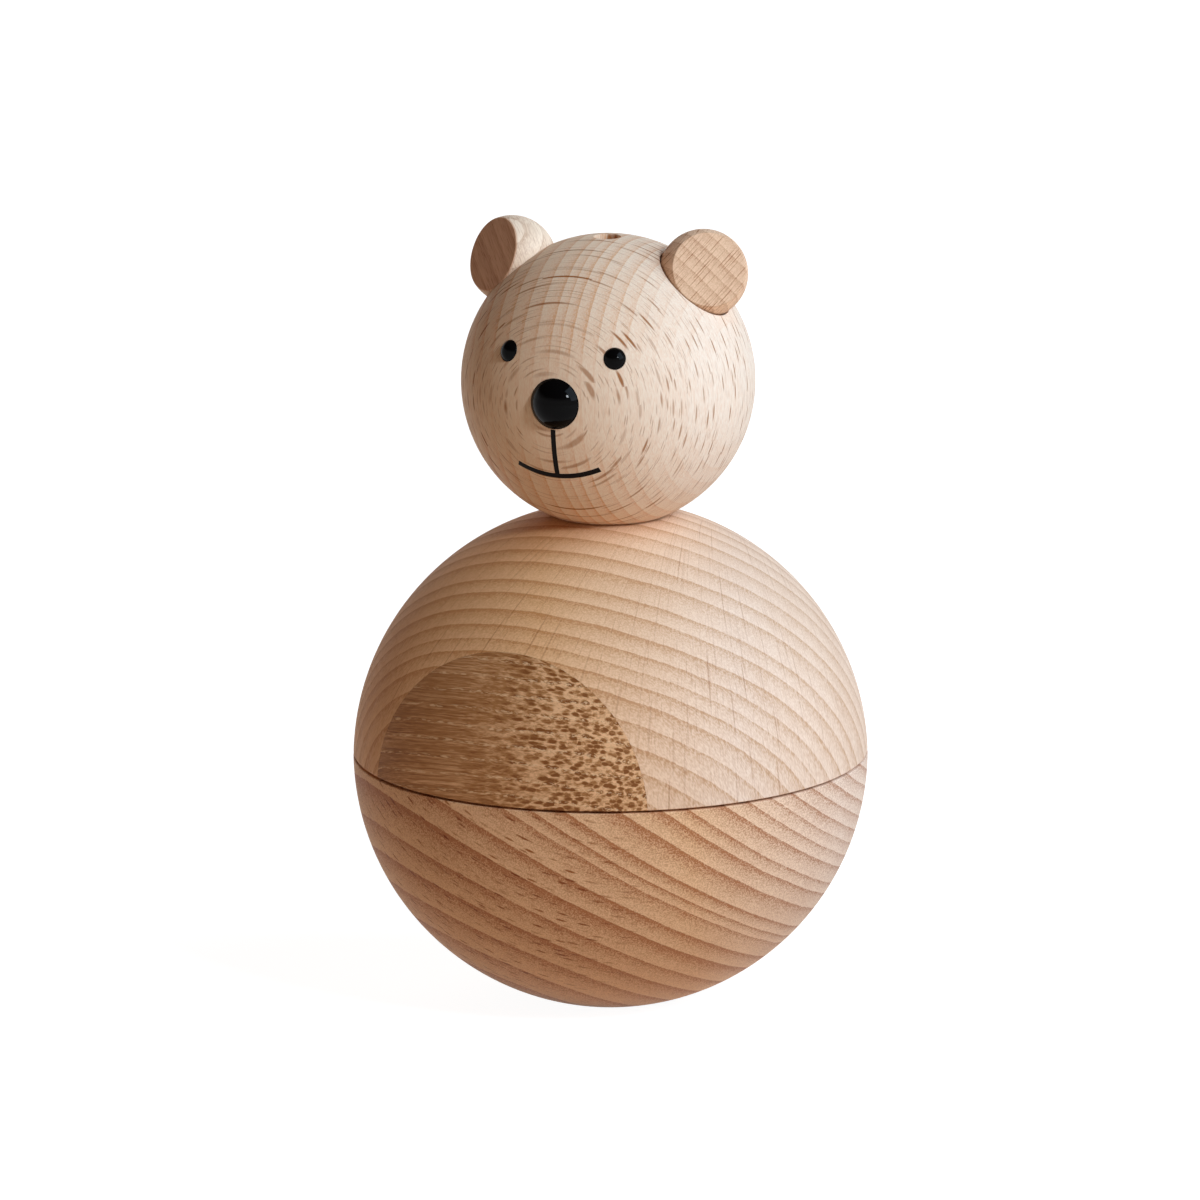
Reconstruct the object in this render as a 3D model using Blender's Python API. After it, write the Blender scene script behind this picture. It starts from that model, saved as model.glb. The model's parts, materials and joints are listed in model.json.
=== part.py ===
"""Wooden bear figure, turned from beech and threaded on one upright dowel.

The body is a ball in two halves, the head is a smaller ball on top of it, and both the upper half and the
head turn on the dowel, which is glued into the lower half. An oak half-round is let into the front of the
upper half. Two small balls with a flat front are sunk into the head as ears, and black domed pins in drilled
holes are the eyes and the nose.

Metres, +Z up. The origin is the centre of the foot. The bear faces -Y, so its left side is +X.
"""

import math

import bmesh
import bpy
from mathutils import Vector

# Body ball
BODY_DIAMETER = 0.0900
FOOT_DIAMETER = 0.0200  # flat that the figure stands on
SEAM_EASE = 0.0004  # rounding of the two edges along the seam
UPPER_BALL_DROP = 0.00125  # the saw cut left the upper half's ball centre this far below the seam
BELLY_TURN_DEG = -6.5  # the upper half stands turned a little to the bear's right

# Oak inlay in the front of the upper half
INLAY_DIAMETER = 0.0530
INLAY_RIM_DEPTH = 0.0080  # depth of the pocket's wall where it meets the ball

# Head ball
HEAD_DIAMETER = 0.0512
NECK_DIAMETER = 0.0207  # the flats on which head and body meet
HOLE_EASE = 0.0003  # chamfer round the hole on top

# Ears: balls with a flat front
EAR_DIAMETER = 0.0155
EAR_STANDOFF = 0.0013  # from the head's surface out to the ear ball's centre
EAR_ELEVATION_DEG = 48.5
EAR_FACE_CUT = 0.0035  # what the flat front takes off the ball
EAR_FACE_SPLAY_DEG = 35.5  # how far the flat turns outwards
EAR_FACE_TILT_DEG = 21.0  # how far the flat leans back

# Eyes and nose: domed pins
EYE_DIAMETER = 0.0037
EYE_DOME = 0.0010
EYE_SHANK = 0.0050
EYE_AZIMUTH_DEG = 24.2
EYE_ELEVATION_DEG = 20.4
NOSE_DIAMETER = 0.0087
NOSE_DOME = 0.0026
NOSE_SHANK = 0.0080
NOSE_ELEVATION_DEG = 2.1

# Dowel
DOWEL_DIAMETER = 0.0040
DOWEL_CHAMFER = 0.0005
DOWEL_SOCKET_DEPTH = 0.0180  # glued length in the lower half
DOWEL_TOP_DEPTH = 0.0060  # the dowel's end lies this far below the top of the head

# Clearances
RUNNING_CLEARANCE = 0.00035  # round the dowel, where a piece turns on it
TURNING_GAP = 0.0003  # between faces that turn on each other
SEAT_GAP = 0.0003  # between a glued piece and its seat
CUTTER_REACH = 0.0050  # how far a cutter sticks out of what it cuts
WELD = 1e-7

# Facets
BODY_STEPS = 64
BODY_ROWS = 14
EASE_ROWS = 2
INLAY_STEPS = 72
HEAD_STEPS = 56
HEAD_ROWS = 24
EAR_STEPS = 32
EAR_ROWS = 12
PIN_STEPS = 24
PIN_ROWS = 6
DOWEL_STEPS = 20
SHARP_DEG = 30.0

# Colours and roughness
PALE_BEECH = (0.78, 0.60, 0.44)
LIGHT_BEECH = (0.74, 0.54, 0.37)
RED_BEECH = (0.66, 0.43, 0.27)
OAK = (0.45, 0.27, 0.13)
BLACK = (0.006, 0.006, 0.007)
RAW_WOOD_ROUGHNESS = 0.55
LACQUER_ROUGHNESS = 0.12

# Sizes that follow from the ones above
BODY_RADIUS = BODY_DIAMETER / 2
HEAD_RADIUS = HEAD_DIAMETER / 2
NECK_RADIUS = NECK_DIAMETER / 2
EAR_RADIUS = EAR_DIAMETER / 2
DOWEL_RADIUS = DOWEL_DIAMETER / 2
INLAY_RADIUS = INLAY_DIAMETER / 2
BORE_RADIUS = DOWEL_RADIUS + RUNNING_CLEARANCE
SOCKET_RADIUS = DOWEL_RADIUS + SEAT_GAP
SEAM_Z = math.sqrt(BODY_RADIUS**2 - (FOOT_DIAMETER / 2) ** 2)
LOWER_FACE_Z = SEAM_Z - TURNING_GAP / 2
SOCKET_FLOOR_Z = LOWER_FACE_Z - DOWEL_SOCKET_DEPTH
BODY_TOP_Z = SEAM_Z - UPPER_BALL_DROP + math.sqrt(BODY_RADIUS**2 - NECK_RADIUS**2)
HEAD_Z = BODY_TOP_Z + TURNING_GAP + math.sqrt(HEAD_RADIUS**2 - NECK_RADIUS**2)
INLAY_FLOOR = math.sqrt(BODY_RADIUS**2 - INLAY_RADIUS**2) - INLAY_RIM_DEPTH
FORWARD = Vector((0, -1, 0))


def arc(centre, radius, start, end, rows):
    """Profile points (distance from the axis, height) along an arc, with both of its ends."""
    angles = [start + (end - start) * row / rows for row in range(rows + 1)]
    return [(centre[0] + radius * math.cos(a), centre[1] + radius * math.sin(a)) for a in angles]


def eased_seam_edge(ball_z, face_z, side):
    """Centre of the rounding between the ball and a seam face, and the latitude where it leaves the ball.

    side is +1 where the solid lies above the face, and -1 where it lies below.
    """
    centre_z = face_z + side * SEAM_EASE
    centre_r = math.sqrt((BODY_RADIUS - SEAM_EASE) ** 2 - (centre_z - ball_z) ** 2)
    return (centre_r, centre_z), math.atan2(centre_z - ball_z, centre_r)


def lower_body_profile():
    """From the middle of the foot, up the outside and down into the dowel's socket."""
    edge, edge_latitude = eased_seam_edge(SEAM_Z, LOWER_FACE_Z, -1)
    foot_latitude = -math.acos(FOOT_DIAMETER / 2 / BODY_RADIUS)
    outside = arc((0, SEAM_Z), BODY_RADIUS, foot_latitude, edge_latitude, BODY_ROWS)
    rounding = arc(edge, SEAM_EASE, edge_latitude, math.pi / 2, EASE_ROWS)
    socket = [(SOCKET_RADIUS, LOWER_FACE_Z), (SOCKET_RADIUS, SOCKET_FLOOR_Z), (0, SOCKET_FLOOR_Z)]
    return [(0, 0)] + outside + rounding[1:] + socket


def upper_half_profile(inner_radius):
    """Along the seam face, up the outside and in over the neck flat. Heights count from the seam."""
    ball_z = -UPPER_BALL_DROP
    face_z = TURNING_GAP / 2
    edge, edge_latitude = eased_seam_edge(ball_z, face_z, +1)
    neck_latitude = math.acos(NECK_RADIUS / BODY_RADIUS)
    rounding = arc(edge, SEAM_EASE, -math.pi / 2, edge_latitude, EASE_ROWS)
    outside = arc((0, ball_z), BODY_RADIUS, edge_latitude, neck_latitude, BODY_ROWS)
    return [(inner_radius, face_z)] + rounding[:-1] + outside + [(inner_radius, outside[-1][1])]


def head_profile():
    """Along the neck flat, up the outside and down the bore. Heights count from the ball's centre."""
    mouth_radius = BORE_RADIUS + HOLE_EASE
    neck_latitude = -math.acos(NECK_RADIUS / HEAD_RADIUS)
    mouth_latitude = math.acos(mouth_radius / HEAD_RADIUS)
    outside = arc((0, 0), HEAD_RADIUS, neck_latitude, mouth_latitude, HEAD_ROWS)
    bore_top = (BORE_RADIUS, outside[-1][1] - HOLE_EASE)
    return [(BORE_RADIUS, outside[0][1])] + outside + [bore_top]


def flat_ball_profile(radius, cut):
    """A ball from its lowest point up to a flat that takes a given depth off its top."""
    flat_latitude = math.asin((radius - cut) / radius)
    return arc((0, 0), radius, -math.pi / 2, flat_latitude, EAR_ROWS) + [(0, radius - cut)]


def pin_profile(radius, dome, shank):
    """A round peg with a domed end. Heights count from where the dome starts."""
    dome_radius = (radius**2 + dome**2) / (2 * dome)
    dome_z = dome - dome_radius
    rim_latitude = math.atan2(-dome_z, radius)
    crown = arc((0, dome_z), dome_radius, rim_latitude, math.pi / 2, PIN_ROWS)
    return [(0, -shank), (radius, -shank)] + crown


def cylinder_profile(radius, low, high):
    return [(0, low), (radius, low), (radius, high), (0, high)]


def dowel_profile():
    foot = SOCKET_FLOOR_Z + SEAT_GAP
    top = HEAD_Z + HEAD_RADIUS - DOWEL_TOP_DEPTH
    tip = DOWEL_RADIUS - DOWEL_CHAMFER
    lower_end = [(0, foot), (tip, foot), (DOWEL_RADIUS, foot + DOWEL_CHAMFER)]
    upper_end = [(DOWEL_RADIUS, top - DOWEL_CHAMFER), (tip, top), (0, top)]
    return lower_end + upper_end


def turned(name, profile, steps):
    """An object turned about Z from a profile that closes on itself or ends on the axis at both ends."""
    form = bmesh.new()
    points = [form.verts.new((radius, 0, height)) for radius, height in profile]
    pairs = list(zip(points, points[1:]))
    if profile[0][0] > 0:
        pairs.append((points[-1], points[0]))
    edges = [form.edges.new(pair) for pair in pairs]
    bmesh.ops.spin(form, geom=points + edges, axis=(0, 0, 1), steps=steps, angle=2 * math.pi)
    bmesh.ops.remove_doubles(form, verts=form.verts, dist=WELD)
    bmesh.ops.recalc_face_normals(form, faces=form.faces)
    mesh = bpy.data.meshes.new(name)
    form.to_mesh(mesh)
    form.free()
    mesh.shade_smooth()
    mesh.set_sharp_from_angle(angle=math.radians(SHARP_DEG))
    obj = bpy.data.objects.new(name, mesh)
    bpy.context.scene.collection.objects.link(obj)
    return obj


def finished(obj, colour, roughness):
    """Gives the object a material of its own."""
    material = bpy.data.materials.new(obj.name)
    material.use_nodes = True
    shader = material.node_tree.nodes["Principled BSDF"]
    shader.inputs["Base Color"].default_value = (*colour, 1)
    shader.inputs["Roughness"].default_value = roughness
    shader.inputs["Metallic"].default_value = 0
    obj.data.materials.append(material)
    return obj


def placed(obj, parent, place, direction):
    """Sets the object on its parent, with its own Z axis along the direction."""
    obj.parent = parent
    obj.location = place
    obj.rotation_mode = "QUATERNION"
    obj.rotation_quaternion = direction.to_track_quat("Z", "Y")
    return obj


def helper(obj):
    """Marks an object that only cuts another."""
    obj.hide_render = True
    obj.display_type = "WIRE"
    return obj


def cut(obj, tool, operation="DIFFERENCE"):
    modifier = obj.modifiers.new(tool.name, "BOOLEAN")
    modifier.operation = operation
    modifier.solver = "EXACT"
    modifier.object = helper(tool)


def turning_axis(name, height, angle_deg=0.0):
    """An empty on the dowel's axis, which carries the pieces that turn together."""
    axis = bpy.data.objects.new(name, None)
    axis.location = (0, 0, height)
    axis.rotation_euler = (0, 0, math.radians(angle_deg))
    bpy.context.scene.collection.objects.link(axis)
    return axis


def direction_at(azimuth_deg, elevation_deg):
    """Unit vector from the head's centre. Azimuth 0 is straight ahead and turns to the bear's left."""
    azimuth = math.radians(azimuth_deg)
    elevation = math.radians(elevation_deg)
    level = math.cos(elevation)
    return Vector((math.sin(azimuth) * level, -math.cos(azimuth) * level, math.sin(elevation)))


def make_lower_body():
    finished(turned("lower_body", lower_body_profile(), BODY_STEPS), RED_BEECH, RAW_WOOD_ROUGHNESS)


def make_dowel():
    finished(turned("centre_dowel", dowel_profile(), DOWEL_STEPS), PALE_BEECH, RAW_WOOD_ROUGHNESS)


def make_upper_body(axis):
    """The upper half with its pocket, and the inlay, which the same ball trims flush."""
    ball_centre = (0, 0, -UPPER_BALL_DROP)
    front = BODY_RADIUS + CUTTER_REACH
    upper = turned("upper_body", upper_half_profile(BORE_RADIUS), BODY_STEPS)
    placed(upper, axis, (0, 0, 0), Vector((0, 0, 1)))
    pocket_shape = cylinder_profile(INLAY_RADIUS + SEAT_GAP, INLAY_FLOOR - SEAT_GAP, front)
    pocket = turned("inlay_pocket", pocket_shape, INLAY_STEPS)
    cut(upper, placed(pocket, axis, ball_centre, FORWARD))
    finished(upper, LIGHT_BEECH, RAW_WOOD_ROUGHNESS)

    inlay = turned("belly_inlay", cylinder_profile(INLAY_RADIUS, INLAY_FLOOR, front), INLAY_STEPS)
    placed(inlay, axis, ball_centre, FORWARD)
    whole_half = turned("whole_upper_half", upper_half_profile(0), BODY_STEPS)
    cut(inlay, placed(whole_half, axis, (0, 0, 0), Vector((0, 0, 1))), "INTERSECT")
    finished(inlay, OAK, RAW_WOOD_ROUGHNESS)


def make_ear(name, side, head, axis):
    """side is +1 for the bear's left ear and -1 for its right."""
    place = direction_at(side * 90, EAR_ELEVATION_DEG) * (HEAD_RADIUS + EAR_STANDOFF)
    face = direction_at(side * EAR_FACE_SPLAY_DEG, EAR_FACE_TILT_DEG)
    ear = turned(name, flat_ball_profile(EAR_RADIUS, EAR_FACE_CUT), EAR_STEPS)
    finished(placed(ear, axis, place, face), PALE_BEECH, RAW_WOOD_ROUGHNESS)
    pocket = turned(name + "_pocket", flat_ball_profile(EAR_RADIUS + SEAT_GAP, 0), EAR_STEPS)
    cut(head, placed(pocket, axis, place, place.normalized()))


def make_pin(name, diameter, dome, shank, direction, head, axis):
    """A domed pin whose dome starts where its edge meets the head's surface."""
    radius = diameter / 2
    place = direction * math.sqrt(HEAD_RADIUS**2 - radius**2)
    pin = turned(name, pin_profile(radius, dome, shank), PIN_STEPS)
    finished(placed(pin, axis, place, direction), BLACK, LACQUER_ROUGHNESS)
    hole_shape = cylinder_profile(radius + SEAT_GAP, -shank - SEAT_GAP, CUTTER_REACH)
    cut(head, placed(turned(name + "_hole", hole_shape, PIN_STEPS), axis, place, direction))


def make_head(axis):
    head = turned("head", head_profile(), HEAD_STEPS)
    placed(head, axis, (0, 0, 0), Vector((0, 0, 1)))
    finished(head, PALE_BEECH, RAW_WOOD_ROUGHNESS)
    for side, name in ((+1, "left"), (-1, "right")):
        make_ear(name + "_ear", side, head, axis)
        look = direction_at(side * EYE_AZIMUTH_DEG, EYE_ELEVATION_DEG)
        make_pin(name + "_eye", EYE_DIAMETER, EYE_DOME, EYE_SHANK, look, head, axis)
    ahead = direction_at(0, NOSE_ELEVATION_DEG)
    make_pin("nose", NOSE_DIAMETER, NOSE_DOME, NOSE_SHANK, ahead, head, axis)


def main():
    for obj in list(bpy.data.objects):
        bpy.data.objects.remove(obj)
    make_lower_body()
    make_dowel()
    make_upper_body(turning_axis("upper_body_turn", SEAM_Z, BELLY_TURN_DEG))
    make_head(turning_axis("head_turn", HEAD_Z))


main()
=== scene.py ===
"""Looks of the wooden bear figure: smooth pieces with solid procedural woods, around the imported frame.

Metres, in the frame's own axes: +Z up along the dowel, the bear faces -Y. Wood sizes are in millimetres.
"""
import json
import math

import bmesh
import bpy
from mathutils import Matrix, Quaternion, Vector


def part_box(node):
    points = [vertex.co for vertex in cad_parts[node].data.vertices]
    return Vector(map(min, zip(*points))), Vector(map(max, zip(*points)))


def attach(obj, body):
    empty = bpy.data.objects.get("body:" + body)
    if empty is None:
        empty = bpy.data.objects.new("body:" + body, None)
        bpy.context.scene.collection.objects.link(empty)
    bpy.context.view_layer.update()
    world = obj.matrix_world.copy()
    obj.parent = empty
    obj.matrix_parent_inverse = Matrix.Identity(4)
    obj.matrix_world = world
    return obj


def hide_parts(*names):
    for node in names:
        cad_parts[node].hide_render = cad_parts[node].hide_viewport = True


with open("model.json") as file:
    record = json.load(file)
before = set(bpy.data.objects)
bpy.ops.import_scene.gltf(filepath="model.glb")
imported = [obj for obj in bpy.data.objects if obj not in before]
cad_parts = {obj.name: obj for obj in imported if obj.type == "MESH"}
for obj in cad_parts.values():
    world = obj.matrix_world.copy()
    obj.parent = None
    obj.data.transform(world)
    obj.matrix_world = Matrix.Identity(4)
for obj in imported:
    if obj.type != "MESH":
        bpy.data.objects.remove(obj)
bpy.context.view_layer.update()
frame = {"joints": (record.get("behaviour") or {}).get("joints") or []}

UP = Vector((0, 0, 1))
WHITE = (1.0, 1.0, 1.0)
MM_IN_METRE = 1000

# Balls
BODY_RADIUS = 0.0450
HEAD_RADIUS = 0.0256
NECK_RADIUS = 0.01035
SEAM_EASE = 0.00025
SEAM_GAP = 0.0004
FOOT_EASE = 0.0005
BORE_RADIUS = 0.00235
HOLE_EASE = 0.00012

# Oak inlay
INLAY_RADIUS = 0.0265
INLAY_FLOOR = 0.0284
INLAY_TURN_DEG = -6.5
GLUE_LINE = 0.00003

# Ears
EAR_RADIUS = 0.00775
EAR_STANDOFF = 0.0013
EAR_ELEVATION_DEG = 48.5
EAR_FACE_CUT = 0.0035
EAR_FACE_SPLAY_DEG = 35.5
EAR_FACE_TILT_DEG = 21.0
EAR_EASE = 0.00025
EAR_POCKET_GAP = 0.0003

# Eyes and nose
EYE_RADIUS = 0.00185
EYE_DOME = 0.0010
EYE_SHANK = 0.0050
EYE_AZIMUTH_DEG = 24.2
EYE_ELEVATION_DEG = 20.4
NOSE_RADIUS = 0.00435
NOSE_DOME = 0.0026
NOSE_SHANK = 0.0080
NOSE_ELEVATION_DEG = 2.1
PIN_EASE = 0.00012
PIN_GAP = 0.0001

# Mouth line, seen from the front, from the head's centre
LINE_WIDTH = 0.00088
LINE_FLAT = 0.8
LINE_PROUD = 0.00003
LINE_SUNK = 0.00015
MOUTH_BEND = 0.01837
MOUTH_HALF_WIDTH = 0.0076
MOUTH_MIDDLE_X = -0.0005
MOUTH_LOWEST_Z = -0.01237
PHILTRUM_TOP = (-0.00028, -0.0036)
PHILTRUM_FOOT_X = -0.00062

# Dowel
DOWEL_RADIUS = 0.0020
DOWEL_EASE = 0.0005

# Mesh fineness
BODY_STEPS = 192
BODY_ROWS = 64
HEAD_STEPS = 160
HEAD_ROWS = 88
SMALL_STEPS = 72
EASE_ROWS = 5
LINE_STEPS = 48
CUTTER_REACH = 0.005
WELD = 1e-7
SHARP_DEG = 32.0
ON_BALL = 0.00003

# Camera
CAMERA_AZIMUTH_DEG = 21.5
CAMERA_ELEVATION_DEG = 13.88
CAMERA_DISTANCE = 2.2
CAMERA_LENS_MM = 377.07
CAMERA_SENSOR_MM = 36.0
CAMERA_ROLL_DEG = -0.371
AIM_HEIGHT = 0.07087
AIM_LEFT = 0.00167

# Lights
LIGHT_DISTANCE = 1.3
WINDOW_AZIMUTH_DEG = 92.0
WINDOW_ELEVATION_DEG = 35.0
WINDOW_SIZE = (1.1, 1.1)
WINDOW_LEVEL = 0.79
WINDOW_COLOUR = (0.785, 1.01, 1.23)
GLEAM_AZIMUTH_DEG = 57.0
GLEAM_ELEVATION_DEG = 32.0
GLEAM_SIZE = (0.13, 0.20)
GLEAM_LEVEL = 0.43
GLEAM_COLOUR = (0.92, 0.99, 1.06)
FILL_AZIMUTH_DEG = -15.0
FILL_ELEVATION_DEG = 7.0
FILL_SIZE = (2.2, 0.45)
FILL_LEVEL = 0.09
FILL_COLOUR = (1.0, 0.60, 0.38)
BACK_AZIMUTH_DEG = 206.0
BACK_ELEVATION_DEG = 28.0
BACK_SIZE = (1.2, 1.2)
BACK_LEVEL = 0.27
BACK_COLOUR = (1.0, 0.88, 0.76)

# Room: the white backdrop fades out between two heights of a view direction, from 0 level to 1 straight up
ROOM_COLOUR = (1.0, 0.62, 0.46)
ROOM_LEVEL = 0.05
BACKDROP_FADE = (0.20, 0.45)
FLOOR_SIZE = 12.0
FLOOR_COLOUR = (0.70, 0.51, 0.37)
FLOOR_SHADOW = 0.3
FLOOR_WHITE = 0.95

# Growth rings: places of their edges in millimetres from the ball's centre, evenly on beyond the ends
LOWER_RINGS = (-43.9, -38.8, -34.2, -28.5, -24.1, -19.2, -16.9, -13.9, -8.5, -4.3, -1.6, 2.6, 5.4)
UPPER_RINGS = (-36.7, -34.5, -32.2, -29.5, -27.3, -25.3, -22.8, -19.9, -16.5, -13.6, -9.0, -5.5, -1.3)
HEAD_RINGS = (-3.0, 0.0, 1.8, 3.7, 5.9, 8.2, 10.5, 12.7, 14.8)
EAR_RINGS = (0.0, 2.3)
DOWEL_RINGS = (0.0, 1.8)
OAK_RINGS = (0.0, 2.9)

# Wood rays: cells and half sizes across the rings, around them and along the fibres, in millimetres
DASHES = ((14.0, 1.6, 3.8), (9.0, 0.20, 2.0))
SHORT_DASHES = ((14.0, 1.4, 3.2), (9.0, 0.24, 1.25))
FINE_RAYS = ((20.0, 0.55, 2.2), (14.0, 0.06, 1.2))
LONG_RAYS = ((18.0, 1.4, 10.0), (9.0, 0.12, 5.5))
STROKES = ((5.0, 0.55, 3.0), (3.2, 0.09, 1.5))
RAY_TINT = (0.43, 0.22, 0.10)
FLECK_CORE = 0.53
FAINTEST_FLECK = 0.3

# Beech: sizes of soft patterns across the rings, around them and along the fibres, in millimetres
RING_SWAY = (9.0, 9.0, 30.0)
RING_RIPPLE = (0.9, 0.9, 2.0)
CLOUDS = (12.0, 12.0, 30.0)
STREAKS = (0.6, 0.6, 7.0)

# Beech: where its end grain and the ears' flat fronts begin and are full, in millimetres from a centre
END_GRAIN = (6.0, 14.0)
EAR_FRONT = (3.9, 4.2)

# Beech: the way toward the side lit by the window, away from the painted warm shade, and the slant of the
# grain on the ears' flat fronts
LIT_SIDE_WAY = Vector((0.93, 0.37, 0))
LEFT_EAR_SLANT_DEG = 43.0
RIGHT_EAR_SLANT_DEG = 144.0

# Beech: shares and strengths of its tones
YEAR_DARKENING = ((0.0, 1.0), (0.04, 0.0), (0.35, 0.15), (0.75, 0.52), (0.96, 1.0))
PALEST_YEAR = 0.65
# share of the rings left on the lit side: painted light, the rings washed out where the window lights the
# wood
LIT_SIDE_RINGS = 0.65
FADED_RINGS = 0.35
RIPPLE_SHARE = 0.25
PORE_EDGE = ((0.35, 0.0), (0.65, 1.0))
EARLY_PORES = 0.6
LATE_PORES = 0.8
BASE_TONE = 0.15
CLOUD_TONE = 0.35
STREAK_TONE = 0.35

# Oak: its run, sizes of its patterns as for beech, where its fibres come out at the surface, and its tones
OAK_RADIAL = (0.023, 0.319, 0.948)
OAK_FIBRE = (0.942, -0.326, 0.08)
OAK_BEND = 1 / 90
OAK_SWAY = (0.8, 0.8, 9.0)
OAK_BUNDLES = ((0.72, 0.78, 9.0), (0.47, 0.5, 6.0))
OAK_THREADS = (0.32, 0.5, 24.0)
OAK_GRAIN = (0.2, 0.2, 2.5)
OAK_CLOUDS = (6.0, 6.0, 20.0)
OAK_GLINTS = (0.25, 0.3, 1.6)
OAK_FIBRE_ENDS = (8.0, 20.0)
OAK_SWAY_REACH = 0.5
OAK_RING_SWAY_REACH = 1.5
OAK_BUNDLE_TONES = (0.15, 1.35)
OAK_GROUND_TONES = (0.45, 0.08)
OAK_THREAD_FINENESS = 0.65
OAK_THREAD_TONE = 1.3
OAK_GRAIN_TONE = 0.7
OAK_CLOUD_TONE = 0.4
OAK_COLOURS = ((0.0, (0.80, 0.475, 0.255)), (0.5, (0.43, 0.20, 0.075)), (1.0, (0.225, 0.078, 0.021)))
GLINT_ROWS = ((0.0, 0.0), (0.06, 1.0), (0.16, 1.0), (0.26, 0.0))
GLINT_EDGE = ((0.5, 0.0), (0.62, 1.0))
GLINT_COLOUR = (0.85, 0.57, 0.33)
GLINT_SHARE = 0.75

# Black: sizes of its unevenness in millimetres, and its colours
LACQUER_WAVE = 1.1
LACQUER_DUST = 0.15
LACQUER_COLOURS = ((0.0, (0.001, 0.001, 0.0012)), (1.0, (0.0035, 0.003, 0.003)))
INK_BLOT = 0.5
INK_COLOURS = ((0.2, (0.004, 0.003, 0.003)), (0.8, (0.012, 0.008, 0.006)))

# Surface: shine, roughness with how far the pattern changes it, and depth of the relief in metres
WOOD_GLOSS = 0.15
BLACK_GLOSS = 0.06
BEECH_ROUGHNESS = (0.56, 0.06)
OAK_ROUGHNESS = (0.55, 0.2)
LACQUER_ROUGHNESS = (0.06, 0.05)
INK_ROUGHNESS = (0.5, 0.2)
BEECH_RELIEF = 0.00001
OAK_RELIEF = 0.00003
LACQUER_RELIEF = 0.00003
INK_RELIEF = 0.00001

# Heights from the frame
JOINT_PLACES = {joint["name"]: joint["pos_m"] for joint in frame["joints"]}
LOWER_BALL_Z = JOINT_PLACES["upper_body_turn"][2]
SEAM_MIDDLE_Z = (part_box("lower_body")[1].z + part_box("upper_body")[0].z) / 2
LOWER_FACE_Z = SEAM_MIDDLE_Z - SEAM_GAP / 2
UPPER_FACE_Z = SEAM_MIDDLE_Z + SEAM_GAP / 2
BODY_TOP_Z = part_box("upper_body")[1].z
UPPER_BALL_Z = BODY_TOP_Z - math.sqrt(BODY_RADIUS**2 - NECK_RADIUS**2)
HEAD_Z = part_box("head")[0].z + math.sqrt(HEAD_RADIUS**2 - NECK_RADIUS**2)
DOWEL_FOOT_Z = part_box("centre_dowel")[0].z
DOWEL_TOP_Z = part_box("centre_dowel")[1].z
LOWER_CENTRE = Vector((0, 0, LOWER_BALL_Z))
UPPER_CENTRE = Vector((0, 0, UPPER_BALL_Z))
HEAD_CENTRE = Vector((0, 0, HEAD_Z))


# Shapes

def arc(centre, radius, start, end, rows):
    """Profile points (distance from the axis, height) along an arc, with both of its ends."""
    angles = [start + (end - start) * row / rows for row in range(rows + 1)]
    return [(centre[0] + radius * math.cos(a), centre[1] + radius * math.sin(a)) for a in angles]


def mesh_object(name, form):
    """A scene object from a bmesh, which is freed."""
    bmesh.ops.remove_doubles(form, verts=form.verts, dist=WELD)
    bmesh.ops.recalc_face_normals(form, faces=form.faces)
    mesh = bpy.data.meshes.new(name)
    form.to_mesh(mesh)
    form.free()
    obj = bpy.data.objects.new(name, mesh)
    bpy.context.scene.collection.objects.link(obj)
    return obj


def turned(name, profile, steps, place=Vector(), direction=UP):
    """A piece turned about an axis through place, with its mesh left in the frame's axes.

    A profile that starts on the axis also ends there. Any other is closed into a ring.
    """
    form = bmesh.new()
    points = [form.verts.new((radius, 0, height)) for radius, height in profile]
    pairs = list(zip(points, points[1:]))
    if profile[0][0] > 0:
        pairs.append((points[-1], points[0]))
    edges = [form.edges.new(pair) for pair in pairs]
    bmesh.ops.spin(form, geom=points + edges, axis=UP, steps=steps, angle=2 * math.pi)
    obj = mesh_object(name, form)
    turn = direction.to_track_quat("Z", "Y").to_matrix().to_4x4()
    turn.translation = place
    obj.data.transform(turn)
    return obj


def carve(piece, tools, operation="DIFFERENCE"):
    """Cuts the piece with each tool, keeps the result as its mesh and removes the tools."""
    for tool in tools:
        modifier = piece.modifiers.new(tool.name, "BOOLEAN")
        modifier.operation = operation
        modifier.solver = "EXACT"
        modifier.object = tool
    evaluated = piece.evaluated_get(bpy.context.evaluated_depsgraph_get())
    piece.data = bpy.data.meshes.new_from_object(evaluated)
    piece.modifiers.clear()
    for tool in tools:
        bpy.data.objects.remove(tool)
    return piece


def smooth(piece, centre=None, radius=0.0):
    """Smooth shading with sharp edges. Faces on a given ball get the ball's own normals."""
    mesh = piece.data
    mesh.shade_smooth()
    mesh.set_sharp_from_angle(angle=math.radians(SHARP_DEG))
    if centre is None:
        return piece
    normals = [corner.vector.copy() for corner in mesh.corner_normals]
    outward = [vertex.co - centre for vertex in mesh.vertices]
    on_ball = [abs(way.length - radius) < ON_BALL for way in outward]
    for face in mesh.polygons:
        if all(on_ball[index] for index in face.vertices):
            for corner, index in zip(face.loop_indices, face.vertices):
                normals[corner] = outward[index].normalized()
    mesh.normals_split_custom_set(normals)
    return piece


def direction_at(azimuth_deg, elevation_deg):
    """Unit vector. Azimuth 0 is straight ahead of the bear and turns to its left."""
    azimuth = math.radians(azimuth_deg)
    elevation = math.radians(elevation_deg)
    level = math.cos(elevation)
    return Vector((math.sin(azimuth) * level, -math.cos(azimuth) * level, math.sin(elevation)))


def eased_seam_edge(ball_z, face_z, side):
    """Centre of the rounding at a seam face, and the latitude where it leaves the ball.

    side is +1 where the solid lies above the face, and -1 where it lies below.
    """
    centre_z = face_z + side * SEAM_EASE
    centre_r = math.sqrt((BODY_RADIUS - SEAM_EASE) ** 2 - (centre_z - ball_z) ** 2)
    return (centre_r, centre_z), math.atan2(centre_z - ball_z, centre_r)


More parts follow.
